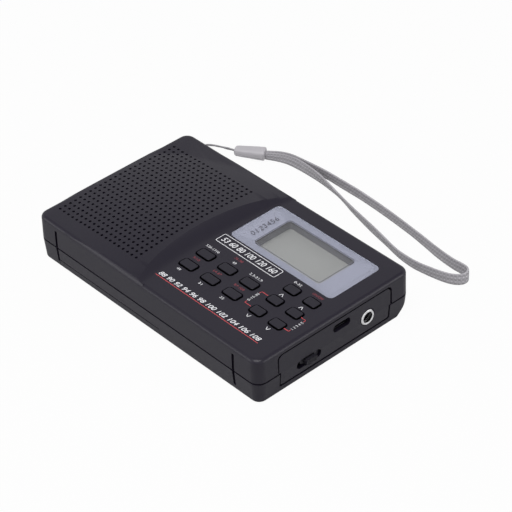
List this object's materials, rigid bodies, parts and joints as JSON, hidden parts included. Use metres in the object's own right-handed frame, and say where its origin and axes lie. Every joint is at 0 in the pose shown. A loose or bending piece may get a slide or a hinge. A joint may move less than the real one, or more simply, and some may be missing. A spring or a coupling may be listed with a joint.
{
  "type": "shortwave receiver",
  "caption": "Pocket shortwave receiver with a crowned speaker grille, display window, front keys, folding telescopic whip, slide-off battery door, end sockets and a wrist strap.",
  "frame": {"origin": "centre of the flat back, on the surface that the receiver lies on", "axes": "+X along the case to the socket end, +Y to the whip side, +Z out of the front panel"},
  "size_m": [0.1233, 0.1088, 0.0221],
  "materials": {
    "case_plastic": "fine grained moulded plastic",
    "lens_acrylic": "clear acrylic",
    "mask_print": "grey printed film",
    "lcd_glass": "liquid crystal panel, unlit",
    "inner_plastic": "moulded plastic",
    "connector_rubber": "conductive rubber",
    "board_laminate": "solder mask on laminate",
    "chip_epoxy": "moulded epoxy",
    "screw_steel": "zinc plated",
    "shield_steel": "tin plated",
    "key_plastic": "satin moulded plastic",
    "bright_chrome": "polished plating",
    "frame_steel": "black coated",
    "cone_paper": "pressed paper",
    "magnet_plating": "nickel plated",
    "ferrite": "sintered",
    "copper_wire": "enamelled wire",
    "pack_sleeve": "shrink sleeve",
    "contact_gilt": "gold flashed",
    "strap_weave": "woven polyester",
    "ferrule_plastic": "moulded plastic"
  },
  "bodies": {
    "case": {"front_case": "case_plastic", "rear_case": "case_plastic", "end_plate": "case_plastic", "display_lens": "lens_acrylic", "lens_mask": "mask_print", "lcd_panel": "lcd_glass", "lcd_holder": "inner_plastic", "lcd_connector_strips": "connector_rubber", "main_board": "board_laminate", "board_chips": "chip_epoxy", "board_screws": "screw_steel", "key_switches": "inner_plastic", "switch_body": "shield_steel", "usb_shell": "shield_steel", "usb_tongue": "inner_plastic", "jack_body": "inner_plastic", "jack_ring": "bright_chrome", "speaker_frame": "frame_steel", "speaker_cone": "cone_paper", "speaker_magnet": "magnet_plating", "ferrite_rod": "ferrite", "ferrite_coil": "copper_wire", "battery_pack": "pack_sleeve", "battery_contacts": "contact_gilt", "case_screws": "screw_steel", "whip_bracket": "shield_steel", "whip_pin": "shield_steel", "strap_string": "strap_weave", "strap_ferrule": "ferrule_plastic", "strap_webbing": "strap_weave"},
    "key_station_1": {"key_station_1": "key_plastic"},
    "key_station_2": {"key_station_2": "key_plastic"},
    "key_station_3": {"key_station_3": "key_plastic"},
    "key_band_1": {"key_band_1": "key_plastic"},
    "key_band_2": {"key_band_2": "key_plastic"},
    "key_band_3": {"key_band_3": "key_plastic"},
    "key_mute": {"key_mute": "key_plastic"},
    "key_volume_up": {"key_volume_up": "key_plastic"},
    "key_volume_down": {"key_volume_down": "key_plastic"},
    "key_power": {"key_power": "key_plastic"},
    "key_tune_up": {"key_tune_up": "key_plastic"},
    "key_tune_down": {"key_tune_down": "key_plastic"},
    "switch_slider": {"switch_slider": "key_plastic"},
    "battery_door": {"battery_door": "case_plastic"},
    "whip_arm": {"whip_knuckle": "bright_chrome", "whip_tube_1": "bright_chrome"},
    "whip_section_2": {"whip_tube_2": "bright_chrome"},
    "whip_section_3": {"whip_tube_3": "bright_chrome"},
    "whip_section_4": {"whip_tube_4": "bright_chrome"},
    "whip_section_5": {"whip_tube_5": "bright_chrome", "whip_tip": "bright_chrome"}
  },
  "joints": [
    {"name": "key_station_1_press", "type": "slide", "parent": "case", "child": "key_station_1", "axis": [0, 0, -1], "range_m": [0, 0.0004], "stiffness_N_per_m": 600},
    {"name": "key_station_2_press", "type": "slide", "parent": "case", "child": "key_station_2", "axis": [0, 0, -1], "range_m": [0, 0.0004], "stiffness_N_per_m": 600},
    {"name": "key_station_3_press", "type": "slide", "parent": "case", "child": "key_station_3", "axis": [0, 0, -1], "range_m": [0, 0.0004], "stiffness_N_per_m": 600},
    {"name": "key_band_1_press", "type": "slide", "parent": "case", "child": "key_band_1", "axis": [0, 0, -1], "range_m": [0, 0.0004], "stiffness_N_per_m": 600},
    {"name": "key_band_2_press", "type": "slide", "parent": "case", "child": "key_band_2", "axis": [0, 0, -1], "range_m": [0, 0.0004], "stiffness_N_per_m": 600},
    {"name": "key_band_3_press", "type": "slide", "parent": "case", "child": "key_band_3", "axis": [0, 0, -1], "range_m": [0, 0.0004], "stiffness_N_per_m": 600},
    {"name": "key_mute_press", "type": "slide", "parent": "case", "child": "key_mute", "axis": [0, 0, -1], "range_m": [0, 0.0004], "stiffness_N_per_m": 600},
    {"name": "key_volume_up_press", "type": "slide", "parent": "case", "child": "key_volume_up", "axis": [0, 0, -1], "range_m": [0, 0.0004], "stiffness_N_per_m": 600},
    {"name": "key_volume_down_press", "type": "slide", "parent": "case", "child": "key_volume_down", "axis": [0, 0, -1], "range_m": [0, 0.0004], "stiffness_N_per_m": 600},
    {"name": "key_power_press", "type": "slide", "parent": "case", "child": "key_power", "axis": [0, 0, -1], "range_m": [0, 0.0004], "stiffness_N_per_m": 600},
    {"name": "key_tune_up_press", "type": "slide", "parent": "case", "child": "key_tune_up", "axis": [0, 0, -1], "range_m": [0, 0.0004], "stiffness_N_per_m": 600},
    {"name": "key_tune_down_press", "type": "slide", "parent": "case", "child": "key_tune_down", "axis": [0, 0, -1], "range_m": [0, 0.0004], "stiffness_N_per_m": 600},
    {"name": "switch_slide", "type": "slide", "parent": "case", "child": "switch_slider", "axis": [0, -1, 0], "range_m": [0, 0.0022]},
    {"name": "battery_door_slide", "type": "slide", "parent": "case", "child": "battery_door", "axis": [0, -1, 0], "range_m": [0, 0.04]},
    {"name": "whip_tilt", "type": "hinge", "parent": "case", "child": "whip_arm", "pos_m": [0.049, 0.0336, 0.0047], "axis": [0, 0.1908, -0.9816], "range_deg": [0, 90]},
    {"name": "whip_draw_2", "type": "slide", "parent": "whip_arm", "child": "whip_section_2", "axis": [-1, 0, 0], "range_m": [0, 0.068]},
    {"name": "whip_draw_3", "type": "slide", "parent": "whip_section_2", "child": "whip_section_3", "axis": [-1, 0, 0], "range_m": [0, 0.068]},
    {"name": "whip_draw_4", "type": "slide", "parent": "whip_section_3", "child": "whip_section_4", "axis": [-1, 0, 0], "range_m": [0, 0.068]},
    {"name": "whip_draw_5", "type": "slide", "parent": "whip_section_4", "child": "whip_section_5", "axis": [-1, 0, 0], "range_m": [0, 0.068]}
  ]
}
